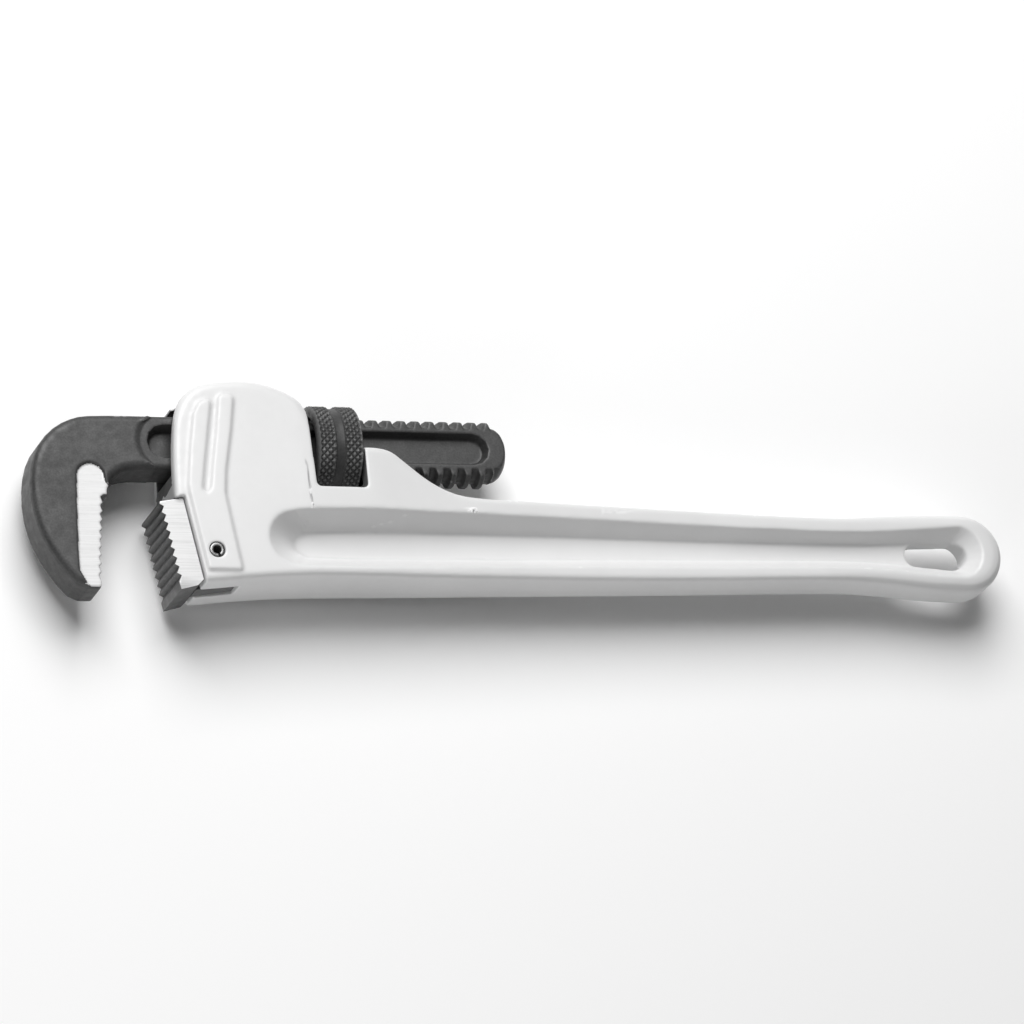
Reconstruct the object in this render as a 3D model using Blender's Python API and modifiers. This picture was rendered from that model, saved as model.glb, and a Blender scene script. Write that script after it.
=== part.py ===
"""Adjustable pipe wrench, straight pattern, with a cast light-alloy handle.

The wrench lies on its side: +X runs along the handle from the nut, +Y runs from the jaw
opening's side up to the top of the head, and +Z is the wrench's thickness.  All shapes are
drawn about the middle of the adjusting nut, and one empty carries the whole wrench so that
the model's origin is the centre of the bottom of its box.
"""

import math

import bmesh
import bpy
from mathutils import Matrix, Vector

MM = 0.001

# ---------------------------------------------------------------- driving dimensions
GRIP_START = 62.0 * MM            # nut centre to the plain part of the grip
GRIP_LENGTH = 138.0 * MM          # the plain part of the grip
END_LENGTH = 42.7 * MM            # the handle's end, round its hanging slot
END_RADIUS = 14.3 * MM
HOOK_REACH = 107.6 * MM           # nut centre to the back of the hook, jaws as set
HEAD_TOP = 21.07 * MM             # nut centre to the top of the head
HEAD_HALF = 13.2 * MM             # half thickness of the head
GRIP_HALF = 8.8 * MM              # half thickness of the grip
RIM_ROUND = 1.8 * MM              # rounding of the casting's long edges
END_ROUND = 4.2 * MM              # and round the end of the handle
DOME_ROUND = 2.8 * MM             # and over the top of the head

NUT_RADIUS = 15.7 * MM
NUT_HALF = 8.2 * MM
NUT_KNURL_HALF = 7.6 * MM
NUT_GROOVE_HALF = 1.5 * MM
NUT_GROOVE_DEPTH = 0.9 * MM
NUT_FACE_RADIUS = 14.3 * MM
NUT_CHAMFER = 0.5 * MM

PITCH = 5.08 * MM                 # five threads to the inch
THREAD_CREST = 11.5 * MM
THREAD_ROOT = 9.7 * MM
CREST_HALF = 0.80 * MM
FLANK = 0.75 * MM                 # axial run of one flank
THREAD_START = -36.0 * MM         # left end of the thread on the shank
THREAD_END = 58.5 * MM
SHANK_END = 62.9 * MM
SHANK_HALF = 6.5 * MM             # half thickness of the shank
SHANK_WEB_HALF = 3.0 * MM
SHANK_RECESS = (-60.0 * MM, 50.2 * MM)    # middles of the round ends of its recess
SHANK_RECESS_HALF = 5.75 * MM     # half height of the recess at the shank's side
SHANK_FLOOR_HALF = 4.5 * MM       # and at its floor

HOOK_HALF = 8.2 * MM
HOOK_GROUND_HALF = 7.2 * MM       # the ground sides beside the hook's teeth
HOOK_ROUND = 2.4 * MM
NECK_HALF = 7.5 * MM              # half thickness of the neck between the hook and the thread
NECK_ROUND = 1.6 * MM
NECK_TOP = 9.5 * MM
NECK_BOTTOM = -9.9 * MM
NECK_END = -38.0 * MM             # where the shank's plain neck ends and its thread begins

HEEL_HALF = 11.0 * MM
HEEL_WIDTH = 8.8 * MM
HEEL_HEIGHT = 31.7 * MM
HEEL_LEAN = 9.3                   # degrees the heel jaw leans back from upright
HEEL_CORNER = (-65.0 * MM, -22.9 * MM)
TANG_HALF = 3.6 * MM
TANG_DEPTH = 13.8 * MM
TANG_HEIGHT = 25.0 * MM
TANG_SET_IN = 1.4 * MM            # the tang ends this far above the heel jaw's lower end
TOOTH_DEPTH = 1.3 * MM
TOOTH_PITCH = 3.1 * MM
HEEL_TEETH = 9
HOOK_TEETH = 10
HOOK_TOOTH_TOP = (-82.9 * MM, -19.2 * MM)
HOOK_TOOTH_LEAN = 5.6             # degrees the hook's tooth line leans outward
HOOK_TOOTH_DEPTH = 0.9 * MM

PIN_RADIUS = 2.5 * MM
PIN_BORE_RADIUS = 1.3 * MM
PIN_SPLIT_HALF = 0.4 * MM
PIN_SET_IN = 0.4 * MM             # how far the pin's ends lie under the panel's faces
PIN_CENTRE = (-46.9 * MM, -40.8 * MM)

LEAF_THICK = 0.9 * MM
LEAF_HALF = 5.0 * MM
LEAF_BOW = 1.1 * MM
LEAF_FRONT = -56.2 * MM
LEAF_REAR = -16.0 * MM

COIL_RADIUS = 3.4 * MM            # to the middle of the wire
COIL_WIRE = 0.5 * MM
COIL_TURNS = 2.5
COIL_X = -34.0 * MM
COIL_TOP = 19.2 * MM              # roof of the coil's pocket

PANEL_RISE = 1.0 * MM
WEB_HALF = 2.7 * MM               # half thickness of the grip's web

FIT = 0.3 * MM                    # gap kept between pieces that touch
SLIDE_FIT = 0.4 * MM              # side play of the hook jaw in the head
THREAD_FIT = 0.35 * MM
NUT_PLAY = 0.7 * MM               # room at each end of the nut in its window
NUT_CLEARANCE = 1.2 * MM          # room under the nut
ROCK_ROOM = 1.1 * MM              # room under the hook jaw's neck for its rocking
ROCK = 3.0                        # degrees the hook jaw rocks with the nut

# ---------------------------------------------------------------- derived dimensions
HANDLE_END = GRIP_START + GRIP_LENGTH + END_LENGTH
END_CENTRE = (HANDLE_END - END_RADIUS, -35.1 * MM)
PANEL_HALF = HEAD_HALF + PANEL_RISE
SLOT_HALF = HOOK_HALF + SLIDE_FIT
CHANNEL_HALF = SHANK_HALF + 0.5 * MM
SLOT_FLOOR = -THREAD_CREST - ROCK_ROOM
LEAF_TOP = THREAD_CREST + FIT + LEAF_BOW + LEAF_THICK
WINDOW_LEFT = -NUT_HALF - NUT_PLAY - 0.3 * MM
WINDOW_RIGHT = NUT_HALF + NUT_PLAY
WINDOW_FLOOR = -NUT_RADIUS - NUT_CLEARANCE
FLAT = 4 * THREAD_CREST           # well past the wrench's sides, for cutters


# ---------------------------------------------------------------- scene helpers
def clear_scene():
    for obj in list(bpy.data.objects):
        bpy.data.objects.remove(obj, do_unlink=True)


def new_collection(name):
    collection = bpy.data.collections.new(name)
    bpy.context.scene.collection.children.link(collection)
    return collection


def make_material(name, colour, roughness, metallic):
    material = bpy.data.materials.new(name)
    material.use_nodes = True
    shader = material.node_tree.nodes["Principled BSDF"]
    shader.inputs["Base Color"].default_value = (*colour, 1.0)
    shader.inputs["Roughness"].default_value = roughness
    shader.inputs["Metallic"].default_value = metallic
    material.diffuse_color = (*colour, 1.0)
    return material


def make_empty(name, place, parent, collection):
    empty = bpy.data.objects.new(name, None)
    empty.empty_display_size = 10 * MM
    empty.location = place
    empty.parent = parent
    collection.objects.link(empty)
    return empty


def add_mesh(name, shape, collection):
    """Link a bmesh as a new object and free the bmesh."""
    bmesh.ops.recalc_face_normals(shape, faces=shape.faces)
    mesh = bpy.data.meshes.new(name)
    shape.to_mesh(mesh)
    shape.free()
    obj = bpy.data.objects.new(name, mesh)
    collection.objects.link(obj)
    return obj


def plate(name, outline, half, collection, centre=0.0):
    """A flat outline in X and Y, given thickness along Z, as one closed mesh."""
    curve = bpy.data.curves.new(name + "_outline", "CURVE")
    curve.dimensions = "2D"
    curve.fill_mode = "BOTH"
    curve.extrude = half
    spline = curve.splines.new("POLY")
    spline.points.add(len(outline) - 1)
    for point, (x, y) in zip(spline.points, outline):
        point.co = (x, y, 0.0, 1.0)
    spline.use_cyclic_u = True
    guide = bpy.data.objects.new(name + "_outline", curve)
    collection.objects.link(guide)
    bpy.context.view_layer.update()
    evaluated = guide.evaluated_get(bpy.context.evaluated_depsgraph_get())
    mesh = bpy.data.meshes.new_from_object(evaluated)
    shape = bmesh.new()
    shape.from_mesh(mesh)
    bmesh.ops.remove_doubles(shape, verts=shape.verts, dist=0.00001)
    bmesh.ops.dissolve_limit(shape, angle_limit=0.001, verts=shape.verts, edges=shape.edges)
    bmesh.ops.translate(shape, verts=shape.verts, vec=(0.0, 0.0, centre))
    bpy.data.meshes.remove(mesh)
    bpy.data.objects.remove(guide, do_unlink=True)
    return add_mesh(name, shape, collection)


def loft(name, lower, lower_z, upper, upper_z, collection):
    """A closed solid between two outlines with the same number of points."""
    shape = bmesh.new()
    below = [shape.verts.new((x, y, lower_z)) for x, y in lower]
    above = [shape.verts.new((x, y, upper_z)) for x, y in upper]
    shape.faces.new(below)
    shape.faces.new(above)
    count = len(below)
    for i in range(count):
        j = (i + 1) % count
        shape.faces.new((below[i], below[j], above[j], above[i]))
    return add_mesh(name, shape, collection)


def inward_normals(loop):
    """The mitred inward direction at each point of a closed clockwise outline."""
    normals = []
    count = len(loop)
    for i, (x, y) in enumerate(loop):
        before = Vector((x - loop[i - 1][0], y - loop[i - 1][1])).normalized()
        after = Vector((loop[(i + 1) % count][0] - x, loop[(i + 1) % count][1] - y)).normalized()
        inward = Vector((before.y + after.y, -before.x - after.x)).normalized()
        lean = max(inward.dot(Vector((before.y, -before.x))), 0.5)
        normals.append(inward / lean)
    return normals


def rounded_plate(name, loop, half_at, radius_at, collection, pairs=None):
    """A plate with rounded long edges, from a clockwise outline and its half thickness.

    The half thickness may change along X, and the rounding from point to point.  With pairs,
    point i is joined to point -1 - i across the faces, so each strip of a tapering face is flat.
    """
    shape = bmesh.new()
    normals = inward_normals(loop)
    steps = 3
    rings = []
    for side in (1, -1):
        for k in range(steps + 1):
            angle = math.radians(90 * k / steps)
            ring = []
            for (x, y), n in zip(loop, normals):
                inset = radius_at(x, y) * (1 - math.cos(angle))
                rise = radius_at(x, y) * (math.sin(angle) - 1)
                ring.append(shape.verts.new((x + n.x * inset, y + n.y * inset,
                                             side * (half_at(x) + rise))))
            rings.append(ring)
    near, far = rings[:steps + 1], rings[steps + 1:]
    bands = list(zip(near, near[1:])) + list(zip(far, far[1:])) + [(near[0], far[0])]
    count = len(loop)
    for first, second in bands:
        for i in range(count):
            j = (i + 1) % count
            shape.faces.new((first[i], first[j], second[j], second[i]))
    for ring in (near[-1], far[-1]):
        if pairs is None:
            shape.faces.new(ring)
            continue
        for i in range(pairs - 1):
            shape.faces.new((ring[i], ring[i + 1], ring[-2 - i], ring[-1 - i]))
        shape.faces.new(ring[pairs - 1:count - pairs + 1])
    return add_mesh(name, shape, collection)


def turned(name, profile, sides, collection):
    """Turn a profile of (x, radius) about the X axis.  It starts and ends on the axis."""
    shape = bmesh.new()
    verts = [shape.verts.new((x, 0.0, radius)) for x, radius in profile]
    for first, second in zip(verts, verts[1:]):
        shape.edges.new((first, second))
    bmesh.ops.spin(shape, geom=shape.verts[:] + shape.edges[:], cent=(0, 0, 0), axis=(1, 0, 0),
                   angle=2 * math.pi, steps=sides, use_merge=True, use_duplicate=False)
    bmesh.ops.remove_doubles(shape, verts=shape.verts, dist=0.00001)
    return add_mesh(name, shape, collection)


def boolean(target, cutter, operation="DIFFERENCE", solver="EXACT"):
    """Cut, join or intersect.  EXACT leaves open edges on the casting and the hook jaw."""
    modifier = target.modifiers.new(cutter.name, "BOOLEAN")
    modifier.operation = operation
    modifier.object = cutter
    modifier.solver = solver
    cutter.hide_render = True
    cutter.display_type = "WIRE"
    return modifier


def bevel(target, width, segments, angle=40.0):
    modifier = target.modifiers.new("rounding", "BEVEL")
    modifier.width = width
    modifier.segments = segments
    modifier.limit_method = "ANGLE"
    modifier.angle_limit = math.radians(angle)
    modifier.use_clamp_overlap = True
    return modifier


def finish(obj, name, material, parent):
    """Name a finished piece, give it its material and hang it on its parent."""
    obj.name = name
    obj.data.materials.clear()
    obj.data.materials.append(material)
    obj.data.shade_smooth()
    obj.data.set_sharp_from_angle(angle=math.radians(30))
    obj.parent = parent
    return obj


# ---------------------------------------------------------------- outline helpers
def mm_points(points):
    return [(x * MM, y * MM) for x, y in points]


def smooth(points, steps):
    """A Catmull-Rom curve through the points, its own end tangents kept straight."""
    padded = [points[0]] + list(points) + [points[-1]]
    curve = []
    for p0, p1, p2, p3 in zip(padded, padded[1:], padded[2:], padded[3:]):
        for k in range(steps):
            t = k / steps
            curve.append(tuple(
                0.5 * (2 * b + (c - a) * t + (2 * a - 5 * b + 4 * c - d) * t * t
                       + (3 * b - a - 3 * c + d) * t ** 3)
                for a, b, c, d in zip(p0, p1, p2, p3)))
    curve.append(points[-1])
    return curve


def arc(centre, radius, start, end, steps):
    points = []
    for k in range(steps + 1):
        angle = math.radians(start + (end - start) * k / steps)
        points.append((centre[0] + radius * math.cos(angle), centre[1] + radius * math.sin(angle)))
    return points


def height_at(curve, x):
    """The height of a curve of points in rising X order, at one X."""
    for (x0, y0), (x1, y1) in zip(curve, curve[1:]):
        if x <= x1:
            return y0 + (y1 - y0) * (x - x0) / (x1 - x0)
    return curve[-1][1]


def frame_point(corner, lean, down, across):
    """A point in a jaw's own frame: down its face and across behind it, leaning by degrees."""
    angle = math.radians(lean)
    x = corner[0] + down * math.sin(angle) + across * math.cos(angle)
    y = corner[1] - down * math.cos(angle) + across * math.sin(angle)
    return (x, y)


def bottom_centre():
    """The middle of the bottom of the wrench's box, seen from the middle of the nut."""
    low = frame_point(HEEL_CORNER, HEEL_LEAN, HEEL_HEIGHT, 0.0)[1]
    return Vector(((HANDLE_END - HOOK_REACH) / 2, (HEAD_TOP + low) / 2, -NUT_RADIUS))


def grip_points(points):
    """Points on the plain grip, each given as its share of the grip's length and its height."""
    return [(GRIP_START + share * GRIP_LENGTH, y * MM) for share, y in points]


def end_points(points):
    """Points on the handle's end, measured back from the end of the handle."""
    return [(HANDLE_END - x * MM, y * MM) for x, y in points]


# ---------------------------------------------------------------- handle housing
def housing_outline():
    """The casting seen from the side, clockwise from the front, and its upper point count."""
    dome = smooth(mm_points([(-59.4, -22), (-59.1, -12), (-58.5, -3), (-57.2, 6), (-55.0, 12.8),
                             (-51.5, 16.9), (-47.5, 19.2), (-42, 20.5), (-36, 21.0), (-31, 21.0),
                             (-25, 20.1), (-19, 18.2), (-13.4, 15.1), (-10.4, 10.8), (-8, 4),
                             (-2, -1.4)]), 3)
    shoulder = smooth(mm_points([(8, -2.1), (14, -2.1), (19, -3.4), (24, -7.3), (32, -13.6),
                                 (41, -17.8), (51, -19.1)]) + grip_points([(0.0, -19.4)]), 3)
    back = smooth(grip_points([(0.0, -19.4), (0.23, -20.4), (0.50, -21.7), (0.71, -22.7),
                               (0.87, -23.0), (1.0, -21.7)]) + end_points([(25.7, -20.8)]), 3)
    end = arc(END_CENTRE, END_RADIUS, 90, 0, 8)
    upper = dome + shoulder[:-1] + back + end[:-1]
    belly = smooth(mm_points([(-59.4, -52.4), (-48, -51.4), (-31, -49.8), (-9, -48.7), (38, -48.4)])
                   + grip_points([(0.25, -47.8), (0.51, -47.1), (0.67, -46.5), (0.85, -46.1),
                                  (0.97, -46.8)])
                   + end_points([(34.7, -48.1), (23.7, -49.1)])
                   + [(END_CENTRE[0], END_CENTRE[1] - END_RADIUS)], 4)
    lower = [(x, height_at(belly, x) if x <= END_CENTRE[0] else 2 * END_CENTRE[1] - y)
             for x, y in upper]
    return upper + [end[-1]] + lower[::-1], len(upper)


def half_thickness(x):
    """Half the casting's thickness: full at the head, easing down to the grip's."""
    thinning = HEAD_HALF - GRIP_HALF
    taper = [(-80 * MM, HEAD_HALF), (-12 * MM, HEAD_HALF), (12 * MM, HEAD_HALF - 0.16 * thinning),
             (36 * MM, HEAD_HALF - 0.43 * thinning), (GRIP_START, HEAD_HALF - 0.68 * thinning),
             (GRIP_START + 0.24 * GRIP_LENGTH, GRIP_HALF + 0.11 * thinning),
             (GRIP_START + 0.49 * GRIP_LENGTH, GRIP_HALF), (HANDLE_END, GRIP_HALF)]
    return height_at(taper, x)


def edge_rounding(x, y):
    """The rounding of the casting's long edges: small, but fuller on the dome and at the end."""
    dome = min(max((y - 5 * MM) / (8 * MM), 0.0), 1.0)
    end = min(max((x - GRIP_START - 0.8 * GRIP_LENGTH) / (0.35 * GRIP_LENGTH), 0.0), 1.0)
    return RIM_ROUND + dome * (DOME_ROUND - RIM_ROUND) + end * (END_ROUND - RIM_ROUND)


def hang_outline():
    """The hanging slot through the handle's end, wider at its outer end."""
    inner = (HANDLE_END - 31.2 * MM, -34.9 * MM)
    outer = (HANDLE_END - 17.5 * MM, -35.2 * MM)
    return arc(inner, 4.2 * MM, 90, 270, 6) + arc(outer, 4.9 * MM, 270, 450, 6)


def panel_outline():
    """The raised panel on the head's side: two prongs that join and run down to the pin."""
    return mm_points([(-46.4, 13.1), (-48.9, 12.0), (-51.2, 7.8), (-53.5, -5.5), (-55.2, -18.1),
                      (-54.6, -22.4), (-50.6, -48.0), (-38.3, -48.1), (-40.3, -34.0),
                      (-42.0, -20.5), (-41.1, -12.5), (-38.1, 2.0), (-36.2, 13.6), (-36.9, 14.9),
                      (-39.3, 15.1), (-41.4, 14.8), (-41.9, 13.9), (-43.7, 1.8), (-45.7, -9.1),
                      (-47.3, -18.8), (-48.6, -20.4), (-49.9, -19.2), (-48.2, -9.1),
                      (-46.2, 1.8), (-44.3, 12.1), (-45.0, 13.1)])


def recess_outlines():
    """The grip's recess at its floor, and where its sloping walls meet the casting's side."""
    floor_top = smooth(mm_points([(-12.5, -30.4), (4, -29.7), (58, -29.9)])
                       + grip_points([(0.23, -30.4), (0.50, -31.0), (0.86, -31.4), (1.0, -31.1)])
                       + end_points([(26.7, -30.5)]), 2)
    floor_end = arc((HANDLE_END - 20.2 * MM, -35.2 * MM), 6.0 * MM, 60, -60, 8)
    floor_bottom = smooth(end_points([(26.7, -39.4)])
                          + grip_points([(1.0, -38.0), (0.86, -37.3), (0.50, -37.8), (0.23, -38.3)])
                          + mm_points([(58, -38.9), (4, -39.4), (-12.5, -39.0)]), 2)
    floor_left = arc((-12.5 * MM, -34.7 * MM), 3.6 * MM, 245, 115, 8)
    side_top = smooth(mm_points([(-17.5, -25.6), (4, -24.6), (58, -25.2)])
                      + grip_points([(0.23, -26.0), (0.50, -27.2), (0.86, -28.5), (1.0, -28.0)])
                      + end_points([(26.7, -26.8)]), 2)
    side_end = arc((HANDLE_END - 17.7 * MM, -35.2 * MM), 9.6 * MM, 75, -75, 8)
    side_bottom = smooth(end_points([(26.7, -44.0)])
                         + grip_points([(1.0, -42.4), (0.86, -41.9), (0.50, -42.8), (0.23, -43.4)])
                         + mm_points([(58, -44.2), (4, -45.6), (-17.5, -45.4)]), 2)
    side_left = arc((-18.6 * MM, -35.5 * MM), 9.5 * MM, 250, 110, 8)
    floor = floor_top + floor_end + floor_bottom + floor_left
    side = side_top + side_end + side_bottom + side_left
    return floor, side


def recess_cutter(side, cutters):
    """The recess on one side, its walls carried on past the casting's surface."""
    cut_height = PANEL_HALF + 1.0 * MM
    rim = []
    floor, surface = recess_outlines()
    for (fx, fy), (sx, sy) in zip(floor, surface):
        share = (cut_height - WEB_HALF) / (half_thickness(sx) - WEB_HALF)
        rim.append((fx + (sx - fx) * share, fy + (sy - fy) * share))
    return loft("grip_recess_" + ("near" if side > 0 else "far"), floor, side * WEB_HALF,
                rim, side * cut_height, cutters)


def window_outline():
    """The opening that the nut turns in: its left wall slopes back, its top is open."""
    corner = 1.3 * MM
    slope = 2.0 * MM
    top = HEAD_TOP + 9 * MM
    left = arc((WINDOW_LEFT + corner, WINDOW_FLOOR + corner), corner, 180, 270, 3)
    right = arc((WINDOW_RIGHT - corner, WINDOW_FLOOR + corner), corner, 270, 360, 3)
    return left + right + [(WINDOW_RIGHT + 0.2 * MM, top), (WINDOW_LEFT - slope, top)]


def slot_outline():
    """The hook jaw's slot through the head.  Its roof leaves room for the leaf to rise."""
    rise = math.tan(math.radians(ROCK))
    front = -70 * MM
    back = WINDOW_LEFT + 3 * MM
    roof = LEAF_TOP + FIT + 0.2 * MM
    return [(front, SLOT_FLOOR), (back, SLOT_FLOOR), (back, roof - back * rise),
            (front, roof - front * rise)]


def channel_outline():
    """The open channel behind the nut.  Its floor falls so that the shank can rock down."""
    start = WINDOW_RIGHT - 2 * MM
    end = SHANK_END + 28 * MM
    floor = SLOT_FLOOR - FIT
    top = 10 * MM
    fall = math.tan(math.radians(ROCK + 3.0))
    return [(start, floor - start * fall), (end, floor - end * fall), (end, top), (start, top)]


def seat_outline():
    """Everything in front of the heel jaw's back and below its top end."""
    past = 12 * MM
    corners = [(-FIT, HEEL_WIDTH + FIT), (HEEL_HEIGHT + past, HEEL_WIDTH + FIT),
               (HEEL_HEIGHT + past, -past), (-FIT, -past)]
    return [frame_point(HEEL_CORNER, HEEL_LEAN, down, across) for down, across in corners]


def tang_outline(clearance):
    """The heel jaw's tang, or with a clearance the slot it fits."""
    low = HEEL_HEIGHT - TANG_SET_IN
    top = low - TANG_HEIGHT - clearance
    if clearance > 0:
        low += 8 * MM
    front = HEEL_WIDTH - 1.0 * MM
    back = HEEL_WIDTH + TANG_DEPTH + clearance
    return [frame_point(HEEL_CORNER, HEEL_LEAN, down, across)
            for down, across in ((top, front), (low, front), (low, back), (top, back))]


def rod(name, centre, radius, half, sides, collection):
    """A round bar along Z."""
    bpy.ops.mesh.primitive_cylinder_add(vertices=sides, radius=radius, depth=2 * half,
                                        location=(centre[0], centre[1], 0.0))
    obj = bpy.context.object
    obj.name = name
    obj.data.transform(Matrix.Translation(obj.location))
    obj.location = (0, 0, 0)
    for home in list(obj.users_collection):
        home.objects.unlink(obj)
    collection.objects.link(obj)
    return obj


def coil_pocket(cutters):
    """The blind hole over the leaf that holds the coil spring."""
    start = LEAF_TOP - 0.5 * MM
    bpy.ops.mesh.primitive_cylinder_add(vertices=20, radius=COIL_RADIUS + COIL_WIRE + 2 * FIT,
                                        depth=COIL_TOP - start)
    obj = bpy.context.object
    obj.name = "coil_pocket"
    turn = Matrix.Rotation(math.radians(90), 4, "X")
    obj.data.transform(Matrix.Translation((COIL_X, (COIL_TOP + start) / 2, 0.0)) @ turn)
    for home in list(obj.users_collection):
        home.objects.unlink(obj)
    cutters.objects.link(obj)
    return obj


def build_housing(parts, cutters, material, parent):
    outline, pairs = housing_outline()
    body = rounded_plate("housing_body", outline, half_thickness, edge_rounding, parts, pairs)
    panel = plate("head_panel", panel_outline(), PANEL_HALF, cutters)
    bevel(panel, 0.6 * MM, 1)
    boolean(body, panel, "UNION", "MANIFOLD")
    cuts = [plate("jaw_slot", slot_outline(), SLOT_HALF, cutters),
            plate("shank_channel", channel_outline(), CHANNEL_HALF, cutters),
            plate("nut_window", window_outline(), FLAT, cutters),
            plate("heel_seat", seat_outline(), FLAT, cutters),
            plate("tang_slot", tang_outline(FIT), TANG_HALF + FIT, cutters),
            rod("pin_hole", PIN_CENTRE, PIN_RADIUS + FIT, FLAT, 24, cutters),
            coil_pocket(cutters),
            recess_cutter(1, cutters),
            recess_cutter(-1, cutters),
            plate("hang_hole", hang_outline(), FLAT, cutters)]
    for cut in cuts:
        boolean(body, cut, "DIFFERENCE", "MANIFOLD")
    return finish(body, "handle_housing", material, parent)


# ---------------------------------------------------------------- hook jaw
def screw_solid(name, start, end, crest, root, crest_half, flank, collection):
    """A rod with one continuous thread, closed at both ends."""
    sides = 24
    profile = ((-crest_half - flank, root), (-crest_half, crest), (crest_half, crest),
               (crest_half + flank, root))
    per_turn = len(profile)
    turns = math.ceil((end - start) / PITCH) + 1
    count = turns * per_turn
    first_turn = math.floor(start / PITCH) - 1
    shape = bmesh.new()
    grid = []
    for i in range(sides):
        angle = 2 * math.pi * i / sides
        line = []
        for k in range(count + 1):
            offset, radius = profile[k % per_turn]
            x = (first_turn + k // per_turn + i / sides) * PITCH + offset
            line.append(shape.verts.new((x, radius * math.cos(angle), radius * math.sin(angle))))
        grid.append(line)
    for i in range(sides - 1):
        for k in range(count):
            shape.faces.new((grid[i][k], grid[i + 1][k], grid[i + 1][k + 1], grid[i][k + 1]))
    last = grid[sides - 1]
    for k in range(count - per_turn):
        shape.faces.new((last[k], grid[0][k + per_turn], grid[0][k + per_turn + 1], last[k + 1]))
    left_loop = [grid[i][0] for i in range(sides)] + [grid[0][k] for k in range(per_turn, 0, -1)]
    right_loop = [grid[i][count] for i in range(1, sides)] \
        + [last[k] for k in range(count - 1, count - per_turn - 1, -1)]
    right_loop = [grid[0][count]] + right_loop
    for loop in (left_loop, right_loop):
        middle = sum(vert.co.x for vert in loop) / len(loop)
        hub = shape.verts.new((middle, 0.0, 0.0))
        for i, vert in enumerate(loop):
            shape.faces.new((hub, vert, loop[(i + 1) % len(loop)]))
    return add_mesh(name, shape, collection)


def shank_profile():
    """Radius along the shank's envelope: plain neck, thread, then the rounded end."""
    neck = THREAD_ROOT - 0.1 * MM
    over = THREAD_CREST + 0.3 * MM
    runout = 2.2 * MM
    profile = [(-74 * MM, 0.0), (-74 * MM, neck), (THREAD_START, neck),
               (THREAD_START + runout, over), (THREAD_END - runout, over)]
    end_start = THREAD_END - runout / 2
    length = SHANK_END - end_start
    for k in range(6):
        angle = math.radians(90 * k / 5)
        profile.append((end_start + length * math.sin(angle), neck * math.cos(angle) ** 0.8))
    profile[-1] = (SHANK_END, 0.0)
    return profile


def hook_outline():
    """The hook's outside, clockwise, with a straight face where the teeth are cut."""
    top = [(-63.3 * MM, NECK_TOP - 0.2 * MM)]
    step = arc((-58.5 * MM, 0.0), 9.6 * MM, 120, 240, 8)
    neck = smooth([(-63.3 * MM, NECK_BOTTOM), (-70 * MM, NECK_BOTTOM), (-75.5 * MM, -10.9 * MM),
                   (-79 * MM, -13.2 * MM)], 2)
    face = mm_points([(-81.0, -17.5), (-83.8, -50.8)])
    tip = mm_points([(-86.6, -52.6), (-90.6, -52.6)])
    back = smooth(mm_points([(-94.2, -51.0), (-98, -46.6), (-102.8, -38.8), (-106.2, -30)])
                  + [(-HOOK_REACH, -19.5 * MM)]
                  + mm_points([(-106.6, -9.5), (-103.6, -1.7), (-98, 4.4), (-92, 7.7),
                               (-86, 9.0), (-74, 9.3)]), 2)
    return top + step + neck + face + tip + back


def tooth_points(corner, lean, pitch, depth, count, flat_start):
    """Saw-tooth points down a jaw's face: each tooth is a tip and the gullet after it."""
    points = []
    for k in range(count):
        tip = flat_start + k * pitch
        points.append(frame_point(corner, lean, tip, 0.0))
        points.append(frame_point(corner, lean, tip + 0.35 * pitch, depth))
    points.append(frame_point(corner, lean, flat_start + count * pitch, 0.0))
    return points


def hook_tooth_cutter(cutters):
    """What is removed to leave the teeth that point at the heel jaw."""
    lean = -HOOK_TOOTH_LEAN
    teeth = tooth_points(HOOK_TOOTH_TOP, lean, TOOTH_PITCH, -HOOK_TOOTH_DEPTH, HOOK_TEETH, 0.0)
    length = HOOK_TEETH * TOOTH_PITCH + 9 * MM
    reach = 14 * MM
    below = frame_point(HOOK_TOOTH_TOP, lean, length, 0.0)
    far_low = frame_point(HOOK_TOOTH_TOP, lean, length, reach)
    far_top = frame_point(HOOK_TOOTH_TOP, lean, 0.2 * MM, reach)
    lead = frame_point(HOOK_TOOTH_TOP, lean, 0.0, 0.4 * MM)
    return plate("hook_teeth", [lead] + teeth[1:] + [below, far_low, far_top], FLAT, cutters)


def ground_outline():
    """The ground side of the hook: a round top, then a band beside the teeth."""
    top = arc((-86.8 * MM, -13.2 * MM), 5.0 * MM, -10, 190, 10)
    low = mm_points([(-92.3, -21.6), (-93.1, -37.6), (-93.4, -46.4), (-91.0, -51.2),
                     (-86.0, -53.6), (-80.0, -53.6), (-80.0, -18.0)])
    return top + low


def shank_recess_cutter(side, cutters):
    """A drafted pocket with round ends in one side of the shank."""
    left, right = SHANK_RECESS
    rim = (arc((left, 0), SHANK_RECESS_HALF, 90, 270, 6)
           + arc((right, 0), SHANK_RECESS_HALF, 270, 450, 6))
    floor = (arc((left, 0), SHANK_FLOOR_HALF, 90, 270, 6)
             + arc((right, 0), SHANK_FLOOR_HALF, 270, 450, 6))
    depth = SHANK_HALF - SHANK_WEB_HALF
    past = (HOOK_HALF - SHANK_HALF) / depth
    outer = [(x + (x - fx) * past, y + (y - fy) * past) for (x, y), (fx, fy) in zip(rim, floor)]
    return loft("shank_recess_" + ("near" if side > 0 else "far"), floor, side * SHANK_WEB_HALF,
                outer, side * (SHANK_HALF + past * depth), cutters)


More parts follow.
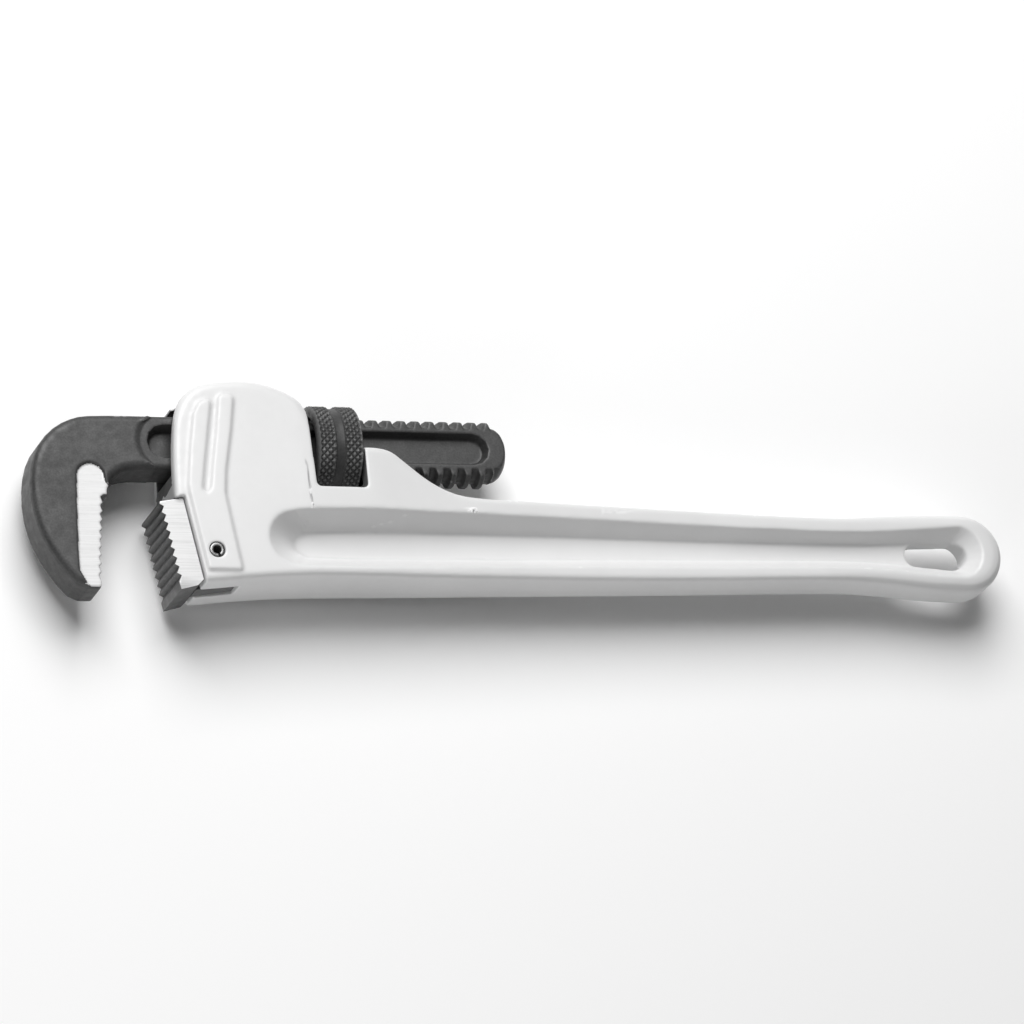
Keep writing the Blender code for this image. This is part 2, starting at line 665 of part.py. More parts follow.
def neck_outline():
    """The plain bar between the hook and the thread, seen from the side, clockwise."""
    drop = 0.2 * MM
    taper = 1.6 * MM
    front = -74 * MM
    top, low = NECK_TOP - drop, NECK_BOTTOM + drop
    return [(front, top), (NECK_END - taper, top), (NECK_END, top - taper),
            (NECK_END, low + taper), (NECK_END - taper, low), (front, low)]


def ground_cutter(side, cutters):
    """What is ground away from one side of the hook beside its teeth."""
    depth = 10 * MM
    return plate("ground_side_" + ("near" if side > 0 else "far"), ground_outline(), depth / 2,
                 cutters, side * (HOOK_GROUND_HALF + depth / 2))


def build_hook(parts, cutters, material, parent):
    jaw = screw_solid("hook_screw", -80 * MM, SHANK_END + 6 * MM, THREAD_CREST, THREAD_ROOT,
                      CREST_HALF, FLANK, parts)
    envelope = turned("shank_envelope", shank_profile(), 48, cutters)
    boolean(jaw, envelope, "INTERSECT", "MANIFOLD")
    slab_end = SHANK_END + 16 * MM
    slab_half = 20 * MM
    slab = [(-73 * MM, -slab_half), (slab_end, -slab_half), (slab_end, slab_half),
            (-73 * MM, slab_half)]
    boolean(jaw, plate("shank_slab", slab, SHANK_HALF, cutters), "INTERSECT", "MANIFOLD")
    neck = rounded_plate("hook_neck", neck_outline(), lambda x: NECK_HALF, lambda x, y: NECK_ROUND,
                         cutters)
    boolean(jaw, neck, "UNION", "MANIFOLD")
    for side in (1, -1):
        boolean(jaw, shank_recess_cutter(side, cutters), "DIFFERENCE", "MANIFOLD")
    hook = rounded_plate("hook_body", hook_outline(), lambda x: HOOK_HALF, lambda x, y: HOOK_ROUND,
                         cutters)
    boolean(jaw, hook, "UNION", "MANIFOLD")
    for side in (1, -1):
        boolean(jaw, ground_cutter(side, cutters), "DIFFERENCE", "MANIFOLD")
    boolean(jaw, hook_tooth_cutter(cutters), "DIFFERENCE", "MANIFOLD")
    return finish(jaw, "hook_jaw", material, parent)


# ---------------------------------------------------------------- adjusting nut
def build_nut(parts, cutters, material, parent):
    shoulder = NUT_RADIUS - NUT_CHAMFER
    groove = NUT_RADIUS - NUT_GROOVE_DEPTH
    profile = [(NUT_HALF, 0.0), (NUT_HALF, NUT_FACE_RADIUS), (NUT_KNURL_HALF, shoulder),
               (NUT_KNURL_HALF - NUT_CHAMFER, NUT_RADIUS),
               (NUT_GROOVE_HALF + NUT_CHAMFER, NUT_RADIUS), (NUT_GROOVE_HALF, groove)]
    profile = profile + [(-x, radius) for x, radius in reversed(profile)]
    nut = turned("nut_body", profile, 48, parts)
    past = 8 * MM
    thread = screw_solid("nut_thread", -NUT_HALF - past, NUT_HALF + past,
                         THREAD_CREST + THREAD_FIT, THREAD_ROOT + THREAD_FIT,
                         CREST_HALF + 0.6 * THREAD_FIT, FLANK, cutters)
    boolean(nut, thread)
    return finish(nut, "adjusting_nut", material, parent)


# ---------------------------------------------------------------- heel jaw and its pin
def build_heel(parts, cutters, material, parent):
    teeth = tooth_points(HEEL_CORNER, HEEL_LEAN, TOOTH_PITCH, TOOTH_DEPTH, HEEL_TEETH, 0.9 * MM)
    corners = [(HEEL_HEIGHT, 0.0), (HEEL_HEIGHT - 0.6 * MM, HEEL_WIDTH - 2.5 * MM),
               (HEEL_HEIGHT - 2.4 * MM, HEEL_WIDTH), (0.0, HEEL_WIDTH), (0.0, 0.4 * MM)]
    outline = teeth + [frame_point(HEEL_CORNER, HEEL_LEAN, down, across)
                       for down, across in corners]
    jaw = plate("heel_block", outline, HEEL_HALF, parts)
    tang = plate("heel_tang", tang_outline(0.0), TANG_HALF, cutters)
    boolean(jaw, tang, "UNION")
    boolean(jaw, rod("heel_pin_hole", PIN_CENTRE, PIN_RADIUS + FIT, FLAT, 24, cutters))
    return finish(jaw, "heel_jaw", material, parent)


def build_pin(parts, cutters, material, parent):
    """A slotted roll pin, rolled from strip, so it is hollow and split along one side."""
    pin = rod("pin_body", PIN_CENTRE, PIN_RADIUS, PANEL_HALF - PIN_SET_IN, 20, parts)
    boolean(pin, rod("pin_bore", PIN_CENTRE, PIN_BORE_RADIUS, FLAT, 12, cutters))
    x, y = PIN_CENTRE
    low = y - 2 * PIN_RADIUS
    split = [(x - PIN_SPLIT_HALF, y), (x + PIN_SPLIT_HALF, y), (x + PIN_SPLIT_HALF, low),
             (x - PIN_SPLIT_HALF, low)]
    boolean(pin, plate("pin_split", split, FLAT, cutters))
    return finish(pin, "heel_jaw_pin", material, parent)


# ---------------------------------------------------------------- springs
def build_leaf(parts, material, parent):
    """The flat spring lies along the top of the shank, bowed up between its ends."""
    low = THREAD_CREST + FIT
    steps = 12
    under = []
    for k in range(steps + 1):
        t = k / steps
        x = LEAF_FRONT + (LEAF_REAR - LEAF_FRONT) * t
        under.append((x, low + LEAF_BOW * math.sin(math.pi * t) ** 0.7))
    over = [(x, y + LEAF_THICK) for x, y in reversed(under)]
    leaf = plate("leaf_strip", under + over, LEAF_HALF, parts)
    return finish(leaf, "flat_spring", material, parent)


def build_coil(parts, material, parent):
    """The coil spring stands in its pocket on top of the leaf."""
    low = LEAF_TOP + FIT + COIL_WIRE
    high = COIL_TOP - FIT - COIL_WIRE
    per_turn = 12
    count = int(COIL_TURNS * per_turn)
    curve = bpy.data.curves.new("coil_wire", "CURVE")
    curve.dimensions = "3D"
    curve.bevel_depth = COIL_WIRE
    curve.bevel_resolution = 2
    curve.use_fill_caps = True
    spline = curve.splines.new("POLY")
    spline.points.add(count)
    for k, point in enumerate(spline.points):
        angle = 2 * math.pi * k / per_turn
        y = low + (high - low) * k / count
        point.co = (COIL_X + COIL_RADIUS * math.cos(angle), y, COIL_RADIUS * math.sin(angle), 1.0)
    coil = bpy.data.objects.new("coil_spring", curve)
    parts.objects.link(coil)
    coil.data.materials.append(material)
    coil.parent = parent
    return coil


# ---------------------------------------------------------------- the wrench
def main():
    clear_scene()
    parts = new_collection("pipe_wrench")
    cutters = new_collection("pipe_wrench_cutters")
    alloy = make_material("coated_alloy", (0.80, 0.81, 0.82), 0.42, 0.55)
    black = make_material("phosphated_steel", (0.055, 0.055, 0.058), 0.5, 0.6)
    dark = make_material("heel_steel", (0.10, 0.10, 0.105), 0.4, 0.8)
    spring = make_material("spring_steel", (0.16, 0.16, 0.17), 0.35, 0.9)

    wrench = make_empty("wrench_frame", -bottom_centre(), None, parts)
    rock_axis = make_empty("rock_axis", (0, 0, 0), wrench, parts)
    slide_axis = make_empty("slide_axis", (0, 0, 0), rock_axis, parts)
    nut_axis = make_empty("nut_axis", (0, 0, 0), rock_axis, parts)

    build_housing(parts, cutters, alloy, wrench)
    build_heel(parts, cutters, dark, wrench)
    build_pin(parts, cutters, spring, wrench)
    build_coil(parts, spring, wrench)
    build_leaf(parts, spring, rock_axis)
    build_hook(parts, cutters, black, slide_axis)
    build_nut(parts, cutters, black, nut_axis)
    for cutter in cutters.objects:
        cutter.parent = wrench


main()
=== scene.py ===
import math

import bmesh
import bpy
from mathutils import Matrix, Vector


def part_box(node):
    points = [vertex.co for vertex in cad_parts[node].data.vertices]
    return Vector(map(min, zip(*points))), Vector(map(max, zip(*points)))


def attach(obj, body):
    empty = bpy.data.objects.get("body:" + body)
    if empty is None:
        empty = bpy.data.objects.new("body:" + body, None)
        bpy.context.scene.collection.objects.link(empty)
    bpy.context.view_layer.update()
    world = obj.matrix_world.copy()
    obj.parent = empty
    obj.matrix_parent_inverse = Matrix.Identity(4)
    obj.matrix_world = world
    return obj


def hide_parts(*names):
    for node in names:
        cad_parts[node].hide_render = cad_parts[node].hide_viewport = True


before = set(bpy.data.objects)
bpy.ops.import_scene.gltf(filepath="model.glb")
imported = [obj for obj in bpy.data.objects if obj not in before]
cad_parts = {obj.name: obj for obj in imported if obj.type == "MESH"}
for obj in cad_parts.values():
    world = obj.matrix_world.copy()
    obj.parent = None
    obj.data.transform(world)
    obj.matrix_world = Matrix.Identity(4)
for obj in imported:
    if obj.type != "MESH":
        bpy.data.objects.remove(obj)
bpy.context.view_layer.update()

mm = 0.001

# Everything is placed from the middle of the adjusting nut: x along the handle, y up to the top of the head,
# z through the thickness.
nutLow, nutHigh = (Vector(corner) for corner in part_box("adjusting_nut"))
nutCentre = (nutLow + nutHigh) / 2
pinLow, pinHigh = (Vector(corner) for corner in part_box("heel_jaw_pin"))
pinPlace = ((pinLow + pinHigh) / 2 - nutCentre) / mm


def at(x, y, z=0.0):
    return nutCentre + Vector((x, y, z)) * mm


def deselectAll():
    if bpy.context.object and bpy.context.object.mode != "OBJECT":
        bpy.ops.object.mode_set(mode="OBJECT")
    bpy.ops.object.select_all(action="DESELECT")


def pick(piece):
    deselectAll()
    piece.select_set(True)
    bpy.context.view_layer.objects.active = piece


def applyModifier(piece, kind, **settings):
    pick(piece)
    modifier = piece.modifiers.new(kind.lower(), kind)
    for name, value in settings.items():
        setattr(modifier, name, value)
    bpy.ops.object.modifier_apply(modifier=modifier.name)


def copyOfNode(node, name, merge=0.01 * mm):
    # the node itself stays as it is; its copy gets its loose triangles joined up
    piece = bpy.data.objects.new(name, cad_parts[node].data.copy())
    bpy.context.scene.collection.objects.link(piece)
    piece.data.materials.clear()
    pick(piece)
    bpy.ops.object.mode_set(mode="EDIT")
    bpy.ops.mesh.select_all(action="SELECT")
    bpy.ops.mesh.remove_doubles(threshold=merge)
    bpy.ops.mesh.normals_make_consistent(inside=False)
    bpy.ops.object.mode_set(mode="OBJECT")
    return piece


def remeshFine(piece, voxel):
    pick(piece)
    piece.data.remesh_voxel_size = voxel
    piece.data.remesh_voxel_adaptivity = 0.0
    bpy.ops.object.voxel_remesh()


def paintWeights(piece, name, weightAt):
    group = piece.vertex_groups.new(name=name)
    for vertex in piece.data.vertices:
        weight = weightAt(vertex.co - nutCentre)
        if weight > 0:
            group.add([vertex.index], min(weight, 1.0), "REPLACE")
    return name


def shadeSmooth(piece, angle=None):
    pick(piece)
    if angle is None:
        bpy.ops.object.shade_smooth()
    else:
        bpy.ops.object.shade_smooth_by_angle(angle=math.radians(angle))


def between(value, low, high):
    # 0 below low, 1 above high, and a soft rise between them
    t = min(max((value - low) / (high - low), 0.0), 1.0)
    return t * t * (3 - 2 * t)


def newMaterial(name, roughness, metallic):
    material = bpy.data.materials.new(name)
    material.use_nodes = True
    shader = material.node_tree.nodes["Principled BSDF"]
    shader.inputs["Roughness"].default_value = roughness
    shader.inputs["Metallic"].default_value = metallic
    return material, material.node_tree.nodes, material.node_tree.links, shader


def noiseNode(nodes, links, scale, detail=3.0, stretch=(1, 1, 1), turn=0.0):
    place = nodes.new("ShaderNodeTexCoord")
    mapping = nodes.new("ShaderNodeMapping")
    mapping.inputs["Scale"].default_value = stretch
    mapping.inputs["Rotation"].default_value = (0, 0, math.radians(turn))
    noise = nodes.new("ShaderNodeTexNoise")
    noise.inputs["Scale"].default_value = scale
    noise.inputs["Detail"].default_value = detail
    links.new(place.outputs["Object"], mapping.inputs["Vector"])
    links.new(mapping.outputs["Vector"], noise.inputs["Vector"])
    return noise


def rampNode(nodes, links, source, stops):
    ramp = nodes.new("ShaderNodeValToRGB")
    while len(ramp.color_ramp.elements) < len(stops):
        ramp.color_ramp.elements.new(0.5)
    for element, (place, grey) in zip(ramp.color_ramp.elements, stops):
        element.position = place
        element.color = (grey, grey, grey, 1.0)
    links.new(source, ramp.inputs["Fac"])
    return ramp


def mixColours(nodes, links, first, second, share, blend="MIX"):
    mix = nodes.new("ShaderNodeMix")
    mix.data_type = "RGBA"
    mix.blend_type = blend
    links.new(first, mix.inputs["A"])
    links.new(second, mix.inputs["B"])
    if isinstance(share, float):
        mix.inputs["Factor"].default_value = share
    else:
        links.new(share, mix.inputs["Factor"])
    return mix.outputs["Result"]


def addBump(nodes, links, shader, layers):
    # each layer is (height output, strength, distance); later layers sit on earlier ones
    normal = None
    for height, strength, distance in layers:
        bump = nodes.new("ShaderNodeBump")
        bump.inputs["Strength"].default_value = strength
        bump.inputs["Distance"].default_value = distance
        links.new(height, bump.inputs["Height"])
        if normal is not None:
            links.new(normal, bump.inputs["Normal"])
        normal = bump.outputs["Normal"]
    links.new(normal, shader.inputs["Normal"])


castAlloySpec = {
    "metallic": 0.05, "specular": 0.30,
    "paleGrey": 0.75, "deepGrey": 0.71,      # slow change of tone over the casting
    "creaseShadeGrey": 0.50, "edgeGrey": 0.86,    # painted shade in the corners, and lighter on the edges
    "grainScale": 1400, "grainStrength": 0.10,
    "pebbleScale": 420, "pebbleStrength": 0.06,
    "smoothest": 0.36, "roughest": 0.52,
    "slotShadeDim": 0.22,         # how dark the painted shade is inside the slot and on the wall beside the nut
}


def makeCastAlloy(name, spec, dim=1.0):
    material, nodes, links, shader = newMaterial(name, 0.42, spec["metallic"])
    shader.inputs["Specular IOR Level"].default_value = spec["specular"]
    slow = noiseNode(nodes, links, 22, 4.0)
    tone = rampNode(nodes, links, slow.outputs["Fac"],
                    [(0.35, spec["deepGrey"] * dim), (0.62, spec["paleGrey"] * dim)])
    shape = nodes.new("ShaderNodeNewGeometry")
    # painted shade: darker in concave corners and creases, found from the pointiness
    creaseShade = rampNode(nodes, links, shape.outputs["Pointiness"],
                      [(0.40, spec["creaseShadeGrey"]), (0.49, 1.0)])
    shaded = mixColours(nodes, links, tone.outputs["Color"], creaseShade.outputs["Color"], 1.0, "MULTIPLY")
    edge = rampNode(nodes, links, shape.outputs["Pointiness"], [(0.53, 0.0), (0.62, 0.5)])
    pale = nodes.new("ShaderNodeRGB")
    pale.outputs[0].default_value = (spec["edgeGrey"] * dim,) * 3 + (1.0,)
    links.new(mixColours(nodes, links, shaded, pale.outputs[0], edge.outputs["Color"]),
              shader.inputs["Base Color"])
    grain = noiseNode(nodes, links, spec["grainScale"], 2.0)
    pebble = noiseNode(nodes, links, spec["pebbleScale"], 3.0)
    gloss = rampNode(nodes, links, pebble.outputs["Fac"], [(0.3, spec["smoothest"]), (0.7, spec["roughest"])])
    links.new(gloss.outputs["Color"], shader.inputs["Roughness"])
    addBump(nodes, links, shader, [(pebble.outputs["Fac"], spec["pebbleStrength"], 0.3 * mm),
                                   (grain.outputs["Fac"], spec["grainStrength"], 0.1 * mm)])
    return material


blackForgingSpec = {
    "metallic": 0.25,
    "darkest": 0.048, "lightest": 0.064,
    # painted shade in the corners, and lighter on the edges
    "creaseShadeGrey": 0.25, "edgeGrey": 0.26,
    "scaleScale": 320, "grainScale": 1500,
    "smoothest": 0.40, "roughest": 0.60,
    "machinedDim": 0.90,     # the nut and the heel's teeth are a little darker
}


def makeBlackForging(name, spec, dim=1.0):
    material, nodes, links, shader = newMaterial(name, 0.5, spec["metallic"])
    mottle = noiseNode(nodes, links, 60, 5.0)
    tone = rampNode(nodes, links, mottle.outputs["Fac"],
                    [(0.3, spec["darkest"] * dim), (0.7, spec["lightest"] * dim)])
    speck = noiseNode(nodes, links, spec["grainScale"], 2.0)
    dust = rampNode(nodes, links, speck.outputs["Fac"], [(0.35, 0.84), (0.65, 1.12)])
    grainy = mixColours(nodes, links, tone.outputs["Color"], dust.outputs["Color"], 1.0, "MULTIPLY")
    shape = nodes.new("ShaderNodeNewGeometry")
    # painted shade: darker in concave corners and creases, found from the pointiness
    creaseShade = rampNode(nodes, links, shape.outputs["Pointiness"], [(0.38, spec["creaseShadeGrey"]), (0.49, 1.0)])
    shaded = mixColours(nodes, links, grainy, creaseShade.outputs["Color"], 1.0, "MULTIPLY")
    # lighter on the sharp edges
    edge = rampNode(nodes, links, shape.outputs["Pointiness"], [(0.52, 0.0), (0.60, 0.8)])
    paleEdge = nodes.new("ShaderNodeRGB")
    paleEdge.outputs[0].default_value = (spec["edgeGrey"] * dim,) * 3 + (1.0,)
    links.new(mixColours(nodes, links, shaded, paleEdge.outputs[0], edge.outputs["Color"]),
              shader.inputs["Base Color"])
    forged = noiseNode(nodes, links, spec["scaleScale"], 4.0)
    gloss = rampNode(nodes, links, forged.outputs["Fac"], [(0.3, spec["smoothest"]), (0.7, spec["roughest"])])
    links.new(gloss.outputs["Color"], shader.inputs["Roughness"])
    addBump(nodes, links, shader, [(forged.outputs["Fac"], 0.22, 0.3 * mm),
                                   (speck.outputs["Fac"], 0.18, 0.1 * mm)])
    return material


groundSteelSpec = {
    "metallic": 0.15,
    "hookPale": 0.70, "hookDark": 0.61, "hookTurn": 62,     # turn of the grinding lines, in degrees
    "heelPale": 0.66, "heelDark": 0.56, "heelTurn": 9,
}


def makeGroundSteel(name, spec, which):
    # fine grinding lines along one direction, and broader bands of them
    pale, dark, turn = (spec[which + value] for value in ("Pale", "Dark", "Turn"))
    material, nodes, links, shader = newMaterial(name, 0.35, spec["metallic"])
    lines = noiseNode(nodes, links, 60, 3.0, (1, 40, 1), turn)
    bands = noiseNode(nodes, links, 60, 2.0, (0.6, 9, 1), turn)
    fine = rampNode(nodes, links, lines.outputs["Fac"], [(0.32, dark), (0.60, pale)])
    broad = rampNode(nodes, links, bands.outputs["Fac"], [(0.3, 0.95), (0.6, 1.0)])
    links.new(mixColours(nodes, links, fine.outputs["Color"], broad.outputs["Color"], 1.0, "MULTIPLY"),
              shader.inputs["Base Color"])
    gloss = rampNode(nodes, links, lines.outputs["Fac"], [(0.3, 0.30), (0.7, 0.46)])
    links.new(gloss.outputs["Color"], shader.inputs["Roughness"])
    addBump(nodes, links, shader, [(lines.outputs["Fac"], 0.15, 0.1 * mm)])
    return material


springSteelSpec = {"metallic": 0.85, "darkest": 0.14, "lightest": 0.30}


def makeSpringSteel(spec):
    material, nodes, links, shader = newMaterial("springSteel", 0.32, spec["metallic"])
    draw = noiseNode(nodes, links, 300, 3.0, (1, 1, 8))
    tone = rampNode(nodes, links, draw.outputs["Fac"], [(0.3, spec["darkest"]), (0.7, spec["lightest"])])
    links.new(tone.outputs["Color"], shader.inputs["Base Color"])
    gloss = rampNode(nodes, links, draw.outputs["Fac"], [(0.3, 0.26), (0.7, 0.42)])
    links.new(gloss.outputs["Color"], shader.inputs["Roughness"])
    addBump(nodes, links, shader, [(draw.outputs["Fac"], 0.08, 0.05 * mm)])
    return material


castAlloy = makeCastAlloy("castAlloy", castAlloySpec)
# a darker copy of the casting's material: painted shade for the slot and the wall beside the nut
slotShade = makeCastAlloy("slotShade", castAlloySpec, castAlloySpec["slotShadeDim"])
blackForging = makeBlackForging("blackForging", blackForgingSpec)
nutBlack = makeBlackForging("nutBlack", blackForgingSpec, blackForgingSpec["machinedDim"])
toothSteel = makeBlackForging("toothSteel", blackForgingSpec, blackForgingSpec["machinedDim"])
hookGround = makeGroundSteel("hookGround", groundSteelSpec, "hook")
heelGround = makeGroundSteel("heelGround", groundSteelSpec, "heel")
springSteel = makeSpringSteel(springSteelSpec)
print("materials made")


def isWithin(value, limits):
    low, high = limits
    return low < value < high


# The cast handle and head. Lengths in mm from the nut's middle, unless a value says otherwise.
castingSpec = {
    "firstVoxel": 0.45 * mm, "voxel": 0.50 * mm,
    "allOver": 3,            # passes that take the sharpness off everything
    "gripPasses": 14,        # more along the recess's upper edges, which are well rounded
    "headPasses": 4,         # on the head's own edges
    "keep": 0.45,            # share of the faces that is left after thinning
    "slotHalf": 9.2, "slotAlong": (-60.5, -8.5), "slotUp": (-17, 14.5),
    "besideNut": (6.0, 11.0), "besideNutTop": -1,
}


def makeCasting(spec):
    piece = copyOfNode("handle_housing", "housingCasting")
    # meshed twice, so that the long thin triangles leave no marks on the flat sides
    remeshFine(piece, spec["firstVoxel"])
    applyModifier(piece, "SMOOTH", factor=0.5, iterations=2)
    remeshFine(piece, spec["voxel"])

    def gripWeight(place):
        # the recess's own edges and corners, but not the casting's long outer edges
        x, y = place.x / mm, place.y / mm
        endRim = between(x, 195, 212)
        upper = between(-y, 22.0, 24.5) * (1 - between(-y, 28.0, 30.0))
        corner = (1 - between(x, -14, -4)) * between(-y, 22.0, 24.5) * (1 - between(-y, 46.0, 47.0))
        return max(between(x, -32, -24) * max(upper, corner), endRim * 0.6)

    def headWeight(place):
        x, y, z = place / mm
        nearSlot = (1 - between(abs(z), 8.9, 9.6)) * (1 - between(x, 60, 70))
        seat = between(-y, 20, 22) * (1 - between(x, -50, -47))
        hole = 1 - between(math.hypot(x - pinPlace.x, y - pinPlace.y), 3.2, 4.2)
        return (1 - nearSlot) * (1 - seat) * (1 - hole) * (1 - between(x, 10, 40))

    gripGroup = paintWeights(piece, "grip", gripWeight)
    headGroup = paintWeights(piece, "head", headWeight)
    applyModifier(piece, "SMOOTH", factor=0.5, iterations=spec["allOver"])
    applyModifier(piece, "SMOOTH", factor=0.5, iterations=spec["gripPasses"], vertex_group=gripGroup)
    applyModifier(piece, "SMOOTH", factor=0.5, iterations=spec["headPasses"], vertex_group=headGroup)
    piece.vertex_groups.clear()
    applyModifier(piece, "DECIMATE", ratio=spec["keep"])
    shadeSmooth(piece)
    piece.data.materials.append(castAlloy)
    piece.data.materials.append(slotShade)
    for face in piece.data.polygons:
        # painted shade inside the slot the shank runs through, and on the wall beside the nut, where these
        # gaps lie in shadow
        x, y, z = (face.center - nutCentre) / mm
        inSlot = abs(z) < spec["slotHalf"] and isWithin(x, spec["slotAlong"]) and isWithin(y, spec["slotUp"])
        besideNut = isWithin(x, spec["besideNut"]) and y < spec["besideNutTop"] and face.normal.x < -0.6
        if inSlot or besideNut:
            face.material_index = 1
    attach(piece, "housing")
    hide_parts("handle_housing")
    return piece


casting = makeCasting(castingSpec)
print("housing casting:", len(casting.data.polygons), "faces")


# The hook jaw, one forging with its threaded shank.
forgingSpec = {
    "voxel": 0.40 * mm,
    "allOver": 2,
    "bodyPasses": 18,
    "threadPasses": 1,
    "groundHalf": 7.2,       # half thickness beside the teeth, in mm
    "groundUpTo": -79.5,     # the ground sides end here along the handle, in mm
    "keep": 0.78,
}


def makeHook(spec):
    piece = copyOfNode("hook_jaw", "hookForging")
    remeshFine(piece, spec["voxel"])

    def bodyWeight(place):
        x, y, z = place / mm
        ground = (1 - between(abs(z), spec["groundHalf"] + 0.2, spec["groundHalf"] + 0.6))
        return (1 - between(x, -72, -64)) * (1 - ground)

    def threadWeight(place):
        return between(place.x / mm, -66, -60)

    bodyGroup = paintWeights(piece, "body", bodyWeight)
    threadGroup = paintWeights(piece, "thread", threadWeight)
    applyModifier(piece, "SMOOTH", factor=0.5, iterations=spec["allOver"])
    applyModifier(piece, "SMOOTH", factor=0.5, iterations=spec["bodyPasses"], vertex_group=bodyGroup)
    applyModifier(piece, "SMOOTH", factor=0.5, iterations=spec["threadPasses"], vertex_group=threadGroup)
    piece.vertex_groups.clear()
    applyModifier(piece, "DECIMATE", ratio=spec["keep"])
    shadeSmooth(piece)
    piece.data.materials.append(blackForging)
    piece.data.materials.append(hookGround)
    for face in piece.data.polygons:
        place = (face.center - nutCentre) / mm
        onSide = abs(abs(place.z) - spec["groundHalf"]) < 0.35 and abs(face.normal.z) > 0.8
        if onSide and place.x < spec["groundUpTo"]:
            face.material_index = 1
    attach(piece, "jaw")
    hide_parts("hook_jaw")
    return piece


hook = makeHook(forgingSpec)
print("hook forging:", len(hook.data.polygons), "faces")


# The adjusting nut, with a raised diamond knurl either side of its groove. Lengths in mm.
nutSpec = {
    "radius": 15.7, "halfLength": 8.2,
    "faceRadius": 14.2, "boreRadius": 11.9,
    "knurlFrom": 1.9, "knurlTo": 7.3,
    "grooveHalf": 1.4, "grooveDepth": 0.8,
    "diamondsRound": 40, "diamondLength": 2.4, "diamondDepth": 0.55,
    "steps": 320, "rows": 24,
    "creaseAngle": 28,       # degrees
}


def makeNut(spec):
    radius, half = spec["radius"], spec["halfLength"]
    # the profile is drawn once, from the bore over the right half, and mirrored to the left
    right = [(spec["grooveHalf"] * 0.35, radius - spec["grooveDepth"]),
             (spec["grooveHalf"], radius - spec["grooveDepth"] + 0.1)]
    for row in range(spec["rows"] + 1):
        right.append((spec["knurlFrom"] + (spec["knurlTo"] - spec["knurlFrom"]) * row / spec["rows"], radius))
    right += [(half - 0.45, radius - 0.55), (half - 0.1, spec["faceRadius"] + 0.1),
              (half, spec["faceRadius"] - 0.3), (half, spec["boreRadius"] + 0.9),
              (half - 0.15, spec["boreRadius"] + 0.5), (half - 0.8, spec["boreRadius"])]
    profile = [(-x, r) for x, r in reversed(right)] + right
    mesh = bpy.data.meshes.new("knurledNut")
    mesh.from_pydata([at(x, 0, r) for x, r in profile],
                     [(i, (i + 1) % len(profile)) for i in range(len(profile))], [])
    piece = bpy.data.objects.new("knurledNut", mesh)
    bpy.context.scene.collection.objects.link(piece)
    pick(piece)
    bpy.ops.object.mode_set(mode="EDIT")
    bpy.ops.mesh.select_all(action="SELECT")
    bpy.ops.mesh.spin(steps=spec["steps"], angle=2 * math.pi, center=nutCentre, axis=(1, 0, 0))
    bpy.ops.mesh.select_all(action="SELECT")
    bpy.ops.mesh.remove_doubles(threshold=0.005 * mm)
    bpy.ops.mesh.normals_make_consistent(inside=False)
    bpy.ops.object.mode_set(mode="OBJECT")
    # the knurl: two crossing sets of grooves pressed into the full radius
    for vertex in piece.data.vertices:
        x, y, z = (vertex.co - nutCentre) / mm
        reach = math.hypot(y, z)
        if reach < radius - 0.02 or not spec["knurlFrom"] - 0.01 < abs(x) < spec["knurlTo"] + 0.01:
            continue
        turn = math.atan2(z, y) / (2 * math.pi) * spec["diamondsRound"]
        along = x / spec["diamondLength"]
        first = abs(2 * ((turn + along) % 1.0) - 1)
        second = abs(2 * ((turn - along) % 1.0) - 1)
        height = min(1.0, 1.35 * min(1 - first, 1 - second))
        runOut = between(abs(x), spec["knurlFrom"] - 0.2, spec["knurlFrom"] + 0.5) \
            * (1 - between(abs(x), spec["knurlTo"] - 0.5, spec["knurlTo"] + 0.2))
        sunk = (1 - height) * spec["diamondDepth"] * (0.35 + 0.65 * runOut)
        vertex.co = nutCentre + Vector((x, y * (1 - sunk / reach), z * (1 - sunk / reach))) * mm
    shadeSmooth(piece, spec["creaseAngle"])
    piece.data.materials.append(nutBlack)
    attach(piece, "nut")
    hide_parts("adjusting_nut")
    return piece


nut = makeNut(nutSpec)
print("adjusting nut:", len(nut.data.polygons), "faces")


# The heel jaw, with crisp teeth, edges just broken and ground sides.
heelSpec = {"edge": 0.16 * mm, "sideHalf": 11.0}


def makeHeel(spec):
    piece = copyOfNode("heel_jaw", "heelBlock")
    pick(piece)
    bpy.ops.object.mode_set(mode="EDIT")
    bpy.ops.mesh.select_all(action="SELECT")
    bpy.ops.mesh.dissolve_limited(angle_limit=math.radians(1))
    bpy.ops.object.mode_set(mode="OBJECT")
    applyModifier(piece, "BEVEL", width=spec["edge"], segments=2, limit_method="ANGLE",
                  angle_limit=math.radians(25), use_clamp_overlap=True)
    shadeSmooth(piece, 25)
    piece.data.materials.append(toothSteel)
    piece.data.materials.append(heelGround)
    for face in piece.data.polygons:
        place = (face.center - nutCentre) / mm
        if abs(face.normal.z) > 0.95 and abs(abs(place.z) - spec["sideHalf"]) < 0.1:
            face.material_index = 1
    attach(piece, "housing")
    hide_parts("heel_jaw")
    return piece


heel = makeHeel(heelSpec)
print("heel jaw:", len(heel.data.polygons), "faces")


# The split roll pin that holds the heel jaw.
pinSpec = {"outer": 2.5, "inner": 1.45, "split": 20, "edge": 0.18 * mm, "steps": 40}


